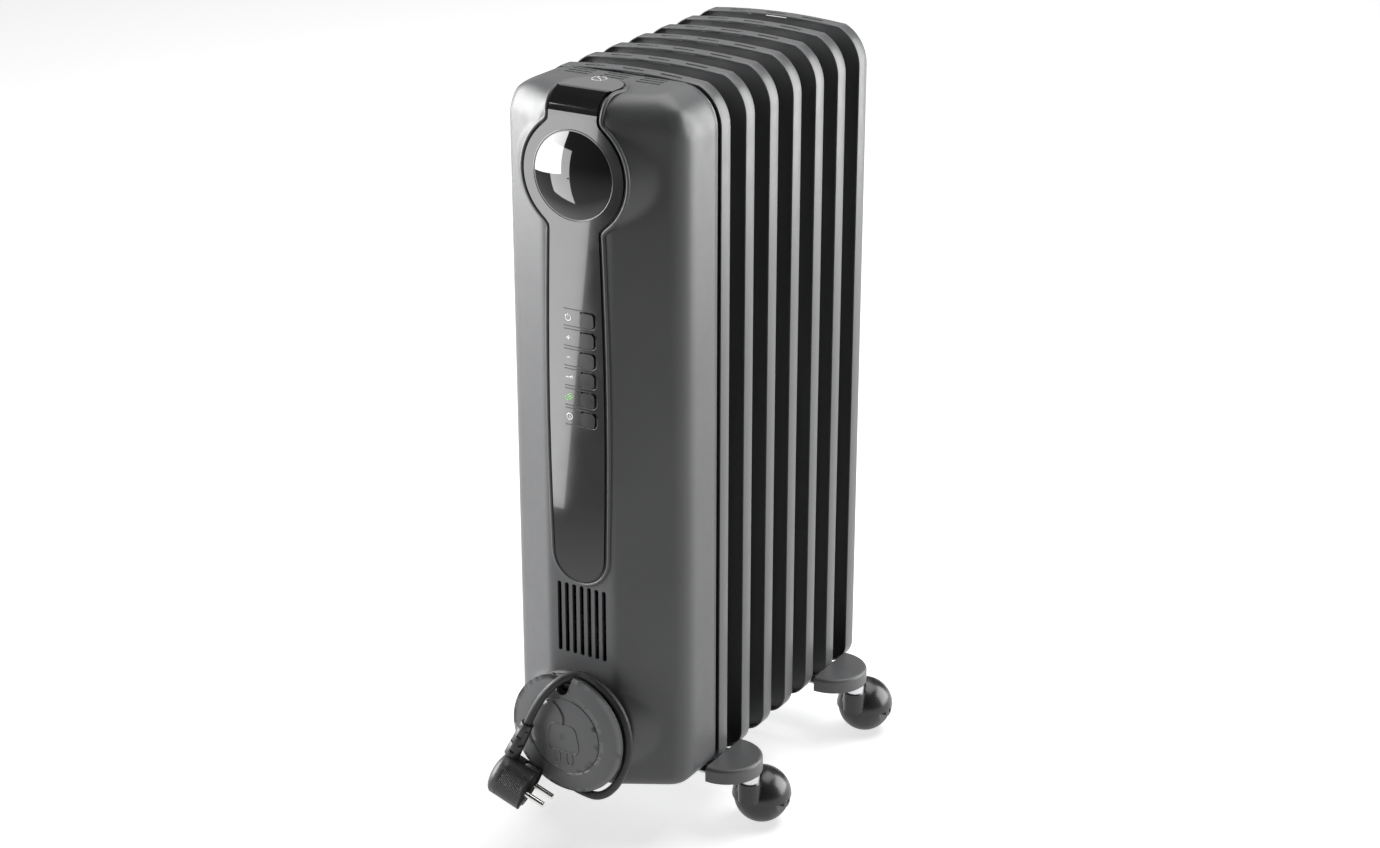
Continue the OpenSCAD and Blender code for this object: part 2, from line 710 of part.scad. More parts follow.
// moves to the plug's own frame: X along side_dir, Y along cord_dir, Z along pin_dir
module in_plug()
    multmatrix([[side_dir[0], cord_dir[0], pin_dir[0], tail_point(plug_end)[0]],
                [side_dir[1], cord_dir[1], pin_dir[1], tail_point(plug_end)[1]],
                [side_dir[2], cord_dir[2], pin_dir[2], tail_point(plug_end)[2]]]) children();

// The plug is the round two pin kind with side earth clips; its pins are 19 mm apart.
relief_length = 33;
plug_radius = 19.5;
plug_face = 27;
plug_back = 8;
plug_centre = -relief_length - plug_radius + 1;
pin_spacing = 19;
pin_radius = 2.4;
pin_length = 19;
pin_shank = 1.9;
pin_depth = 8;
clip_floor = plug_radius - 2.7;
clip_sheet = 1.2;
clip_length = 14;

module plug_relief()
    color("#151515") in_plug() rotate([90, 0, 0]) cylinder(h = relief_length, r1 = 5.6, r2 = 6.8);

module plug_body()
    color("#121212") in_plug() translate([0, plug_centre, 0]) difference() {
        union() {
            cylinder(h = plug_face, r = plug_radius);
            // the back: a low dome on the round body
            intersection() {
                translate([0, 0, -plug_back + 30]) sphere(30);
                translate([0, 0, -plug_back]) cylinder(h = plug_back + 0.5, r = plug_radius);
            }
        }
        // seat of the cord's relief, the recess round the pins, and the earth clips' channels
        translate([0, -plug_centre + 1, 0]) rotate([90, 0, 0]) cylinder(h = relief_length + 1, r = 7);
        for (s = [-1, 1]) {
            translate([s * pin_spacing / 2, 0, plug_face - pin_depth]) cylinder(h = pin_depth + 1, r = pin_shank);
            translate([-3.2, s > 0 ? clip_floor : -plug_radius - 1, plug_face - clip_length])
                cube([6.4, plug_radius + 1 - clip_floor, clip_length + 1]);
        }
    }

module plug_pins()
    color("#c9cbce") in_plug() translate([0, plug_centre, plug_face]) for (s = [-1, 1])
        translate([s * pin_spacing / 2, 0, 0]) {
            translate([0, 0, -pin_depth]) cylinder(h = pin_depth, r = pin_shank);
            cylinder(h = pin_length - 1.4, r = pin_radius);
            translate([0, 0, pin_length - 1.4]) cylinder(h = 1.4, r1 = pin_radius, r2 = 1.4);
        }

module earth_clips()
    color("#b9bbbe") in_plug() translate([0, plug_centre, plug_face - clip_length]) for (s = [-1, 1])
        translate([-3, s > 0 ? clip_floor : -clip_floor - clip_sheet, 0]) cube([6, clip_sheet, clip_length - 0.4]);

// ---------- feet and casters ----------

bolt_x = header_radius + 0.4 + 2.5;
bolt_low = plate_z - 13;
plate_reach = fin_pitch - fin_rim / 2 + 0.45;

module foot_plates()
    color("#77797c") for (y = foot_y) difference() {
        union() {
            translate([2 - cap_x, y - 9, plate_z]) cube([2 * cap_x - 4, plate_reach + 9, foot_plate]);
            slot_box(0, y, plate_z + foot_plate / 2, 2 * (cap_x + tongue), 28, foot_plate);
        }
        for (s = [-1, 1]) {
            translate([s * bolt_x, y + bolt_dy, plate_z - 1]) cylinder(h = 4, r = 2.8);
            for (dy = [-cap_screw_dy, cap_screw_dy])
                translate([s * (cap_x + cap_screw_x), y + dy, plate_z - 1]) {
                    cylinder(h = 4, r = 1.9);
                    cylinder(h = 1.8, r = 3.5);
                }
        }
    }

// D-shaped cap with its flat side against the fins, and a socket for the caster's stem
module cap_shape(inset, z0, z1)
    translate([0, 0, z0]) linear_extrude(z1 - z0) intersection() {
        translate([cap_bulge, 0]) circle(foot_radius - inset, $fn = 96);
        translate([inset, -foot_radius]) square(2 * foot_radius);
    }

cap_edge = 3;
module foot_cap(s, y)
    translate([s * cap_x, y, 0]) mirror([s < 0 ? 1 : 0, 0, 0]) difference() {
        union() {
            difference() {
                intersection() {
                    cap_shape(0, cap_bottom, cap_top);
                    translate([cap_bulge, 0, 0]) rotate_extrude($fn = 96) {
                        translate([foot_radius - cap_edge, cap_top - cap_edge]) circle(cap_edge);
                        translate([0, cap_top - 2 * cap_edge]) square([foot_radius - cap_edge, 2 * cap_edge]);
                        translate([0, cap_bottom]) square([foot_radius, cap_height - cap_edge]);
                    }
                }
                cap_shape(cap_wall, cap_bottom - 1, cap_top - cap_wall);
            }
            intersection() {
                cap_shape(0.5, cap_bottom, cap_top - 1);
                translate([stem_reach, 0, cap_bottom]) cylinder(h = cap_height - 2, r = stem_radius + 3);
            }
            // the block that stands on the bracket's tongue
            translate([1, -12, fin_bottom]) cube([tongue - 1, 24, cap_top - 1 - fin_bottom]);
        }
        translate([stem_reach, 0, cap_bottom - 1]) cylinder(h = cap_height - 2, r = stem_radius + run_gap);
        for (dy = [-cap_screw_dy, cap_screw_dy])
            translate([cap_screw_x, dy, fin_bottom - 1]) cylinder(h = 9, r = 1.6);
    }

module foot_caps()
    color("#4b4c4f") for (y = foot_y) for (s = [-1, 1]) foot_cap(s, y);

// a bolt bent over the lower header, between two fins
module u_bolts()
    color("#a9abae") for (y = foot_y) translate([0, y + bolt_dy, 0]) {
        translate([0, 0, lower_header]) rotate([90, 0, 0]) rotate_extrude(angle = 180)
            translate([bolt_x, 0]) circle(2.5);
        for (s = [-1, 1]) translate([s * bolt_x, 0, bolt_low]) cylinder(h = lower_header - bolt_low, r = 2.5);
    }

module wing_nuts()
    color("#a9abae") for (y = foot_y) for (s = [-1, 1]) translate([s * bolt_x, y + bolt_dy, plate_z - 7])
        difference() {
            union() {
                cylinder(h = 7, r = 5);
                for (t = [-1, 1]) rotate([90, 0, 0]) translate([t * 8, 1, -1]) linear_extrude(2) circle(5);
            }
            translate([0, 0, -6]) cylinder(h = 20, r = 2.5 + run_gap);
        }

// moves to the centre of a caster's ball
module at_ball(c) translate([side_of(c) * stem_x, stem_y(c) + caster_trail, ball_z]) children();

cheek_radius = 5.5;
seam = 0.6;

// a half shell over the ball, with the neck for its stem and a cheek at each end of the axle
module caster_hood(c)
    color("#1c1c1e") at_ball(c) difference() {
        union() {
            intersection() {
                sphere(hood_radius);
                union() {
                    translate([-40, -40, seam]) cube(80);
                    rotate([0, 90, 0]) translate([0, 0, -40]) cylinder(h = 80, r = cheek_radius);
                }
            }
            translate([0, -caster_trail, 4]) cylinder(h = neck_top - ball_z - 4, r = ring_radius + 1.5);
        }
        difference() {
            sphere(hood_inner);
            for (s = [-1, 1]) translate([s * (wheel_half + slide_gap), 0, 0]) rotate([0, s * 90, 0])
                cylinder(h = hood_radius, r = cheek_radius);
        }
        translate([0, -caster_trail, neck_top - ball_z]) cylinder(h = 20, r = ring_radius + slide_gap);
        translate([0, -caster_trail, stem_low - ball_z]) cylinder(h = 20, r = stem_radius);
        rotate([0, 90, 0]) translate([0, 0, -40]) cylinder(h = 80, r = axle_radius);
    }

module caster_wheel(c)
    color("#131314") at_ball(c) rotate([0, 90, 0]) difference() {
        intersection() {
            sphere(wheel_radius);
            translate([0, 0, -wheel_half]) cylinder(h = 2 * wheel_half, r = wheel_radius + 1);
        }
        translate([0, 0, -wheel_half - 1]) cylinder(h = 2 * wheel_half + 2, r = axle_radius + run_gap);
    }

module caster_axle(c)
    color("#b8babd") at_ball(c) rotate([0, 90, 0])
        translate([0, 0, -hood_radius + 0.9]) cylinder(h = 2 * (hood_radius - 0.9), r = axle_radius);

// stem pressed into the hood, with the ring that carries the foot cap
module caster_stem(c)
    color("#c4c6c9") translate([side_of(c) * stem_x, stem_y(c), 0]) {
        translate([0, 0, stem_low]) cylinder(h = cap_top - 5 - stem_low, r = stem_radius);
        translate([0, 0, neck_top]) cylinder(h = cap_bottom - 0.1 - neck_top, r = ring_radius);
    }

for (i = [1:fin_count]) fin(i);
headers();
heating_element();
oil_plug();
mounting_plate();
housing();
screws();
control_band();
display_lens();
display_module();
control_board();
power_board();
terminal_block();
thermal_cutout();
tilt_switch();
room_sensor();
wiring();
winder_hub();
winder_disc();
cord_gland();
cord_coil();
cord_tail();
plug_relief();
plug_body();
plug_pins();
earth_clips();
foot_plates();
foot_caps();
u_bolts();
wing_nuts();
for (i = [1:6]) button(i);
for (c = [0:3]) caster_hood(c);
for (c = [0:3]) caster_wheel(c);
for (c = [0:3]) caster_axle(c);
for (c = [0:3]) caster_stem(c);
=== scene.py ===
import json
import math
import bpy
from mathutils import Matrix, Vector

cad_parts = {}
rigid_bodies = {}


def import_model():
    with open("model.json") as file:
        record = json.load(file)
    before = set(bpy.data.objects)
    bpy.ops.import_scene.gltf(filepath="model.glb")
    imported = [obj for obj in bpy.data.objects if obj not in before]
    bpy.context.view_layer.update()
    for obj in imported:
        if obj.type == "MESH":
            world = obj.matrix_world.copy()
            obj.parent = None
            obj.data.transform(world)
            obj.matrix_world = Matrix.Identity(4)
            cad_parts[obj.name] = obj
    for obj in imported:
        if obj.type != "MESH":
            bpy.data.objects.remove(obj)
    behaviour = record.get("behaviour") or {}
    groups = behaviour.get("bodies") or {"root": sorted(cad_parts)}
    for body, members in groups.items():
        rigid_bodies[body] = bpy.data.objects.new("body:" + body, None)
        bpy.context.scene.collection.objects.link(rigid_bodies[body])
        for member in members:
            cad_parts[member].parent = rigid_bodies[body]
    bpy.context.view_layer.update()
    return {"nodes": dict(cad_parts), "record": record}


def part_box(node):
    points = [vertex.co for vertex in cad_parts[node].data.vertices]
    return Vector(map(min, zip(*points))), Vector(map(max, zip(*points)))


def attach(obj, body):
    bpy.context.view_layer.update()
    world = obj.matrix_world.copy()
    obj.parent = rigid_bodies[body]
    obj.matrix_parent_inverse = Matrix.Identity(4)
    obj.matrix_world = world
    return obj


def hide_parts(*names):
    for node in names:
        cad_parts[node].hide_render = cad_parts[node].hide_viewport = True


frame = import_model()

mm = 0.001
keyNames = ["power", "plus", "minus", "mode", "eco", "timer"]


def clearSelection():
    if bpy.context.object and bpy.context.object.mode != 'OBJECT':
        bpy.ops.object.mode_set(mode='OBJECT')
    bpy.ops.object.select_all(action='DESELECT')


def activate(piece):
    clearSelection()
    piece.select_set(True)
    bpy.context.view_layer.objects.active = piece


def named(name):
    piece = bpy.context.object
    piece.name = name
    piece.data.name = name
    return piece


def applyPlace(piece):
    activate(piece)
    bpy.ops.object.transform_apply(location=True, rotation=True, scale=True)


def pickFaces(piece, test):
    # selects the faces whose centre and normal pass the test, and leaves edit mode open
    bpy.ops.object.mode_set(mode='OBJECT')
    for vertex in piece.data.vertices:
        vertex.select = False
    for edge in piece.data.edges:
        edge.select = False
    for face in piece.data.polygons:
        face.select = bool(test(face.center, face.normal))
    bpy.ops.object.mode_set(mode='EDIT')
    bpy.ops.mesh.select_mode(type='FACE')


def pickVertices(piece, test):
    # selects the points that pass the test, and leaves edit mode open
    bpy.ops.object.mode_set(mode='OBJECT')
    for face in piece.data.polygons:
        face.select = False
    for edge in piece.data.edges:
        edge.select = False
    for vertex in piece.data.vertices:
        vertex.select = bool(test(vertex.co))
    bpy.ops.object.mode_set(mode='EDIT')
    bpy.ops.mesh.select_mode(type='VERT')


def bevelEdges(piece, width, segments=2, angle=30):
    # rounds every sharp edge and keeps the flats flat
    activate(piece)
    modifier = piece.modifiers.new("edges", 'BEVEL')
    modifier.width = width
    modifier.segments = segments
    modifier.limit_method = 'ANGLE'
    modifier.angle_limit = math.radians(angle)
    modifier.harden_normals = False
    modifier.use_clamp_overlap = True
    bpy.ops.object.modifier_apply(modifier="edges")
    bpy.ops.object.shade_smooth_by_angle(angle=math.radians(angle))


def cut(piece, cutter, operation='DIFFERENCE'):
    activate(piece)
    modifier = piece.modifiers.new("cut", 'BOOLEAN')
    modifier.operation = operation
    modifier.object = cutter
    modifier.solver = 'EXACT'
    bpy.ops.object.modifier_apply(modifier="cut")
    bpy.data.objects.remove(cutter, do_unlink=True)


def joinPieces(pieces, name):
    clearSelection()
    for piece in pieces:
        piece.select_set(True)
    bpy.context.view_layer.objects.active = pieces[0]
    if len(pieces) > 1:
        bpy.ops.object.join()
    return named(name)


def copyNode(node, name):
    # a copy of a CAD node's mesh, its loose triangles merged and its flats made whole
    source = frame["nodes"][node]
    mesh = source.data.copy()
    piece = bpy.data.objects.new(name, mesh)
    mesh.name = name
    mesh.materials.clear()
    bpy.context.scene.collection.objects.link(piece)
    activate(piece)
    bpy.ops.object.mode_set(mode='EDIT')
    bpy.ops.mesh.select_all(action='SELECT')
    bpy.ops.mesh.remove_doubles(threshold=0.00002)
    bpy.ops.mesh.dissolve_limited(angle_limit=math.radians(0.6))
    bpy.ops.object.mode_set(mode='OBJECT')
    return piece


def boxCutter(low, high):
    middle = (Vector(low) + Vector(high)) / 2
    size = Vector(high) - Vector(low)
    clearSelection()
    bpy.ops.mesh.primitive_cube_add(size=1, location=middle)
    bpy.context.object.scale = size
    applyPlace(bpy.context.object)
    return bpy.context.object


def finish(piece, body, material, replaced=()):
    piece.data.materials.clear()
    piece.data.materials.append(material)
    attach(piece, body)
    if replaced:
        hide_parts(*replaced)


viewSetup = {
    "place": (1.0708, -1.7735, 1.1479),
    "turn": 30.744,
    "down": 21.553,
    "lens": 68.47,
}


def addCamera():
    clearSelection()
    bpy.ops.object.camera_add(location=viewSetup["place"],
                              rotation=(math.radians(90 - viewSetup["down"]), 0,
                                        math.radians(viewSetup["turn"])))
    camera = bpy.context.object
    camera.name = "camera"
    camera.data.lens = viewSetup["lens"]
    camera.data.sensor_width = 36
    camera.data.clip_end = 50
    camera.data.dof.use_dof = False
    bpy.context.scene.camera = camera


lightSetup = {
    # name: turn about the object (0 is the front), distance, height, width, tall, watts, spread
    "left": (-70, 1.6, 0.84, 2.1, 1.45, 66, 130),
    "rightBack": (132, 1.7, 0.80, 1.6, 1.5, 42, 150),
    "behind": (-149, 1.9, 1.45, 1.7, 1.1, 2.5, 150),
    "top": (170, 1.0, 2.5, 2.4, 2.4, 70, 180),
}


def addLights():
    for name, (turn, distance, height, width, tall, watts, spread) in lightSetup.items():
        a = math.radians(turn)
        place = Vector((distance * math.sin(a), -distance * math.cos(a), height))
        clearSelection()
        bpy.ops.object.light_add(type='AREA', location=place)
        lamp = bpy.context.object
        lamp.name = "light_" + name
        lamp.data.shape = 'RECTANGLE'
        lamp.data.size = width
        lamp.data.size_y = tall
        lamp.data.energy = watts
        lamp.data.spread = math.radians(spread)
        aim = Vector((0, 0, min(height - 0.1, 0.6)))
        if name == "top":       # it looks straight down
            aim = Vector((place.x, place.y, 0))
        lamp.rotation_euler = (aim - place).to_track_quat('-Z', 'Y').to_euler()
    world = bpy.data.worlds.new("studio")
    world.use_nodes = True
    background = world.node_tree.nodes["Background"]
    background.inputs["Color"].default_value = (1, 1, 1, 1)
    background.inputs["Strength"].default_value = 0.05
    bpy.context.scene.world = world
    bpy.context.scene.view_settings.view_transform = 'Standard'
    bpy.context.scene.view_settings.look = 'None'


def addFloor():
    clearSelection()
    bpy.ops.mesh.primitive_plane_add(size=16, location=(0, 0, 0))
    floor = named("floor")
    material = bpy.data.materials.new("floorWhite")
    material.use_nodes = True
    nodes = material.node_tree.nodes
    shader = nodes["Principled BSDF"]
    shader.inputs["Base Color"].default_value = (0.86, 0.86, 0.86, 1)
    shader.inputs["Roughness"].default_value = 0.7
    shader.inputs["Specular IOR Level"].default_value = 0.1
    shader.inputs["Emission Color"].default_value = (1, 1, 1, 1)
    place = nodes.new("ShaderNodeTexCoord")
    away = nodes.new("ShaderNodeVectorMath")
    away.operation = 'DOT_PRODUCT'
    away.inputs[1].default_value = (-0.51, -0.86, 0)
    # painted light: the floor glows by its emission, strong near the heater and fading to nothing far off to
    # the front left
    paintedFloorGlow = nodes.new("ShaderNodeMapRange")        # the floor darkens away to the front left
    paintedFloorGlow.inputs["From Min"].default_value = 0.55
    paintedFloorGlow.inputs["From Max"].default_value = 0.85
    paintedFloorGlow.inputs["To Min"].default_value = 0.7
    paintedFloorGlow.inputs["To Max"].default_value = 0.0
    material.node_tree.links.new(place.outputs["Object"], away.inputs[0])
    material.node_tree.links.new(away.outputs["Value"], paintedFloorGlow.inputs["Value"])
    material.node_tree.links.new(paintedFloorGlow.outputs["Result"], shader.inputs["Emission Strength"])
    floor.data.materials.append(material)


def shieldFloor():
    # the side panels light the heater alone, so the floor stays even
    skipped = bpy.data.collections.new("panelsSkip")
    skipped.objects.link(bpy.data.objects["floor"])
    skipped.collection_objects[0].light_linking.link_state = 'EXCLUDE'
    for name in ("left", "rightBack", "behind"):
        bpy.data.objects["light_" + name].light_linking.receiver_collection = skipped


addCamera()
addLights()
addFloor()
shieldFloor()
print("camera, lights and floor set")


def newMaterial(name, colour, roughness, metallic=0.0, specular=0.5, coat=0.0, coatRoughness=0.03):
    material = bpy.data.materials.new(name)
    material.use_nodes = True
    shader = material.node_tree.nodes["Principled BSDF"]
    shader.inputs["Base Color"].default_value = (*colour, 1)
    shader.inputs["Roughness"].default_value = roughness
    shader.inputs["Metallic"].default_value = metallic
    shader.inputs["Specular IOR Level"].default_value = specular
    shader.inputs["Coat Weight"].default_value = coat
    shader.inputs["Coat Roughness"].default_value = coatRoughness
    return material


def objectNoise(material, scale, detail=3.0, stretch=(1, 1, 1)):
    nodes = material.node_tree.nodes
    links = material.node_tree.links
    place = nodes.new("ShaderNodeTexCoord")
    mapping = nodes.new("ShaderNodeMapping")
    mapping.inputs["Scale"].default_value = stretch
    noise = nodes.new("ShaderNodeTexNoise")
    noise.inputs["Scale"].default_value = scale
    noise.inputs["Detail"].default_value = detail
    links.new(place.outputs["Object"], mapping.inputs["Vector"])
    links.new(mapping.outputs["Vector"], noise.inputs["Vector"])
    return noise.outputs["Fac"]


def rangeOf(material, value, low, high):
    node = material.node_tree.nodes.new("ShaderNodeMapRange")
    node.inputs["From Min"].default_value = 0.3
    node.inputs["From Max"].default_value = 0.7
    node.inputs["To Min"].default_value = low
    node.inputs["To Max"].default_value = high
    material.node_tree.links.new(value, node.inputs["Value"])
    return node.outputs["Result"]


def mixColours(material, value, first, second):
    node = material.node_tree.nodes.new("ShaderNodeMix")
    node.data_type = 'RGBA'
    node.inputs[6].default_value = (*first, 1)
    node.inputs[7].default_value = (*second, 1)
    material.node_tree.links.new(value, node.inputs["Factor"])
    return node.outputs[2]


def addBump(material, height, distance, strength=1.0):
    nodes = material.node_tree.nodes
    bump = nodes.new("ShaderNodeBump")
    bump.inputs["Distance"].default_value = distance
    bump.inputs["Strength"].default_value = strength
    material.node_tree.links.new(height, bump.inputs["Height"])
    material.node_tree.links.new(bump.outputs["Normal"], nodes["Principled BSDF"].inputs["Normal"])


def feed(material, socket, value):
    material.node_tree.links.new(value, material.node_tree.nodes["Principled BSDF"].inputs[socket])


def stovePaint():
    # baked satin paint on pressed steel: faint orange peel, cloudy sheen
    material = newMaterial("stovePaint", (0.06, 0.061, 0.063), 0.36, specular=0.5)
    cloud = rangeOf(material, objectNoise(material, 9, 2), 0, 1)
    feed(material, "Base Color", mixColours(material, cloud, (0.056, 0.057, 0.059), (0.064, 0.065, 0.067)))
    feed(material, "Roughness", rangeOf(material, objectNoise(material, 60, 3), 0.32, 0.4))
    addBump(material, objectNoise(material, 1400, 2), 0.00004, 0.35)
    return material


def grainedPlastic(name, dark, light, lowRough, highRough, grain=2600, depth=0.00003):
    # moulded plastic with a fine eroded grain
    material = newMaterial(name, light, highRough)
    cloud = rangeOf(material, objectNoise(material, 14, 2), 0, 1)
    feed(material, "Base Color", mixColours(material, cloud, dark, light))
    feed(material, "Roughness", rangeOf(material, objectNoise(material, 90, 3), lowRough, highRough))
    addBump(material, objectNoise(material, grain, 3), depth, 0.5)
    return material


def pianoBlack(name, rough=0.05):
    # polished black plastic with the faint haze that wiping leaves
    material = newMaterial(name, (0.006, 0.006, 0.0065), rough, coat=0.6, coatRoughness=0.02)
    feed(material, "Roughness", rangeOf(material, objectNoise(material, 35, 4), rough, rough + 0.05))
    return material


def cordRubber():
    material = newMaterial("cordRubber", (0.014, 0.014, 0.015), 0.5, specular=0.4)
    feed(material, "Roughness", rangeOf(material, objectNoise(material, 160, 4), 0.42, 0.56))
    addBump(material, objectNoise(material, 1800, 3), 0.00004, 0.5)
    return material


def plated(name, colour, low, high, scale=240, stretch=(1, 1, 1)):
    # zinc or nickel plate, a little streaky
    material = newMaterial(name, colour, low, metallic=1.0)
    feed(material, "Roughness", rangeOf(material, objectNoise(material, scale, 4, stretch), low, high))
    addBump(material, objectNoise(material, scale * 3, 2, stretch), 0.00002, 0.4)
    return material


def plain(name, colour, rough, spread=0.06, scale=120):
    material = newMaterial(name, colour, rough)
    cloud = objectNoise(material, scale, 3)
    feed(material, "Roughness", rangeOf(material, cloud, rough - spread, rough + spread))
    return material


finishes = {
    "radiator": stovePaint(),
    "housing": grainedPlastic("housingPlastic", (0.056, 0.057, 0.059), (0.063, 0.064, 0.066), 0.38, 0.45),
    "band": pianoBlack("bandBlack"),
    "keys": pianoBlack("keyBlack", 0.09),
    "lens": pianoBlack("lensBlack", 0.02),
    "disc": grainedPlastic("discPlastic", (0.06, 0.061, 0.063), (0.067, 0.068, 0.07), 0.4, 0.48),
    "hub": grainedPlastic("hubPlastic", (0.03, 0.03, 0.032), (0.04, 0.04, 0.042), 0.45, 0.55),
    "foot": grainedPlastic("footPlastic", (0.07, 0.071, 0.073), (0.078, 0.079, 0.081), 0.4, 0.48),
    "hoods": grainedPlastic("hoodPlastic", (0.012, 0.012, 0.013), (0.016, 0.016, 0.017),
                            0.22, 0.3, 3000, 0.00001),
    "wheels": grainedPlastic("wheelPlastic", (0.01, 0.01, 0.011), (0.014, 0.014, 0.015),
                             0.34, 0.44, 2400, 0.00002),
    "cord": cordRubber(),
    "plug": grainedPlastic("plugPlastic", (0.014, 0.014, 0.015), (0.02, 0.02, 0.021),
                           0.36, 0.46, 2200, 0.00004),
    "plug_metal": plated("nickel", (0.72, 0.71, 0.69), 0.16, 0.28),
    "fasteners": plated("zincPlate", (0.56, 0.57, 0.58), 0.28, 0.42),
    "plate": plated("sheetZinc", (0.5, 0.51, 0.52), 0.34, 0.48, 60, (1, 1, 0.2)),
    "pins": plated("turnedSteel", (0.62, 0.62, 0.63), 0.2, 0.32, 500, (1, 1, 8)),
    "element": plated("elementSteel", (0.5, 0.47, 0.42), 0.35, 0.5),
    "brass_plug": plated("brass", (0.7, 0.52, 0.24), 0.25, 0.38),
    "icon": plain("iconWhite", (0.75, 0.76, 0.76), 0.5),
    "leaf": plain("iconGreen", (0.16, 0.5, 0.08), 0.5),
    "ridge": pianoBlack("ridgeBlack", 0.18),
    "display": plain("displayGlass", (0.02, 0.025, 0.022), 0.12, 0.03),
    "board": plain("boardGreen", (0.04, 0.16, 0.07), 0.4),
    "connector": plain("connectorCream", (0.72, 0.69, 0.61), 0.5),
    "sensor": plain("sensorBlack", (0.02, 0.02, 0.02), 0.4),
    "wires": plain("wireInsulation", (0.12, 0.07, 0.04), 0.45),
}
print("finishes made:", len(finishes))

slotOf = {part["node"]: part["material_slot"] for part in frame["record"]["subparts"]}
for node, piece in frame["nodes"].items():
    piece.data.materials.clear()
    piece.data.materials.append(finishes[slotOf[node]])

hubLow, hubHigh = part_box("winder_hub")
discLow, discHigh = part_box("winder_disc")
winderX = (hubLow[0] + hubHigh[0]) / 2
winderZ = (hubLow[2] + hubHigh[2]) / 2
discRear = hubLow[1]                      # the disc's rear face
bandLow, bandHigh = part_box("control_band")
housingLow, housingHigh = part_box("housing")
lensLow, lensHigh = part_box("display_lens")
bandFront = bandLow[1]
frontFace = housingLow[1]
displayZ = (lensLow[2] + lensHigh[2]) / 2
housingTop = housingHigh[2]


def strokeFrom(points, width, name, closed=False):
    # a rounded bead that follows the points, made from a round tube
    clearSelection()
    bpy.ops.curve.primitive_bezier_curve_add()
    bead = named(name)
    bead.location = (0, 0, 0)
    bead.data.splines.clear()
    spline = bead.data.splines.new('BEZIER')
    spline.bezier_points.add(len(points) - 1)
    for knot, point in zip(spline.bezier_points, points):
        knot.co = point
        knot.handle_left_type = 'AUTO'
        knot.handle_right_type = 'AUTO'
    spline.use_cyclic_u = closed
    bead.data.dimensions = '3D'
    bead.data.resolution_u = 4
    bead.data.bevel_depth = width / 2
    bead.data.bevel_resolution = 3
    bead.data.use_fill_caps = True
    bpy.ops.object.convert(target='MESH')
    bead = bpy.context.object
    bpy.ops.object.shade_smooth_by_angle(angle=math.radians(60))
    bead.data.name = name
    return bead


def beadFrom(points, width, name, material, closed=False):
    bead = strokeFrom(points, width, name, closed)
    finish(bead, "heater", material)
    return bead


finSetup = {"edge": 0.7 * mm, "steps": 3}


def addFins():
    # one fin with its edges rounded, then a copy for each of the others
    finNodes = sorted(n for n in frame["nodes"] if n.startswith("fin_"))
    first = copyNode(finNodes[0], "radiator_fin_1")
    bevelEdges(first, finSetup["edge"], finSetup["steps"], 35)
    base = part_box(finNodes[0])[0]
    for count, node in enumerate(finNodes, 1):
        fin = first
        if count > 1:
            activate(first)
            bpy.ops.object.duplicate()
            fin = named("radiator_fin_%d" % count)
            fin.location = (0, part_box(node)[0][1] - base[1], 0)
            applyPlace(fin)
        finish(fin, "heater", finishes["radiator"], (node,))


lipSetup = {"width": 3.4 * mm, "offset": 3.1 * mm, "waist": 22 * mm, "bezel": 45.5 * mm, "capHalf": 25 * mm,
            "edgeRadius": 18 * mm, "capEnd": 25.8 * mm}


def bandEdge(z):
    # half width of the band at a height, as the band itself is drawn
    stripTop = displayZ - 30 * mm
    stripLength = stripTop - bandLow[2] + 18 * mm
    share = min(1, max(0, (stripTop - z) / stripLength))
    strip = lipSetup["waist"] + 3.6 * mm * math.sin(math.pi * share)
    disc = math.sqrt(max(0, lipSetup["bezel"] ** 2 - (z - displayZ) ** 2))
    return (strip ** 7 + disc ** 7) ** (1 / 7)


def addLip():
    # the raised lip that frames the gloss band, in the housing's own plastic
    offset = lipSetup["offset"]
    lowest = bandLow[2]
    side = []
    top = housingTop - lipSetup["edgeRadius"]
    z = top
    while z > lowest + 30 * mm:
        slope = (bandEdge(z + 0.5 * mm) - bandEdge(z - 0.5 * mm)) / mm
        turn = math.atan(slope)
        side.append(Vector((bandEdge(z) + offset * math.cos(turn), frontFace, z - offset * math.sin(turn))))
        z -= 5 * mm if abs(z - displayZ) < 62 * mm else 22 * mm
    endRadius = bandEdge(lowest + 24 * mm)
    centre = lowest + endRadius
    for step in range(0, 10):
        a = math.radians(step * 10)
        reach = endRadius + offset
        side.append(Vector((reach * math.cos(a), frontFace, centre - reach * math.sin(a))))
    over = []
    r = lipSetup["edgeRadius"]
    for step in range(1, 6):        # up over the rounded front edge
        a = math.radians(18 * step)
        over.append(Vector((bandEdge(top) + offset + 1.2 * mm * step / 5, frontFace + r - r * math.cos(a),
                            top + r * math.sin(a))))
    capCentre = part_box("mounting_plate")[0][1] - lipSetup["capEnd"] - lipSetup["capHalf"]
    reach = lipSetup["capHalf"] + offset * 0.8
    cap = []
    for step in range(0, 9):
        a = math.radians(step * 90 / 8)
        cap.append(Vector((reach * math.cos(a), capCentre + reach * math.sin(a), housingTop)))
    half = list(reversed(cap)) + list(reversed(over)) + side
    mirrored = [Vector((-p.x, p.y, p.z)) for p in reversed(half)]
    beadFrom(half + mirrored[1:-1], lipSetup["width"], "band_lip", finishes["housing"],
             closed=True)


housingSetup = {
    "flatHalf": 31.8 * mm, "bevelDepth": 28.5 * mm, "wall": 2.5 * mm,
    "roundest": 33 * mm, "voxel": 2.0 * mm, "smoothing": 10,
    "drumRear": 66.5 * mm, "drumFront": 47.5 * mm, "drumDepth": 20 * mm,
    "vents": 7, "ventPitch": 7.2 * mm, "ventHalf": 1.9 * mm,
}


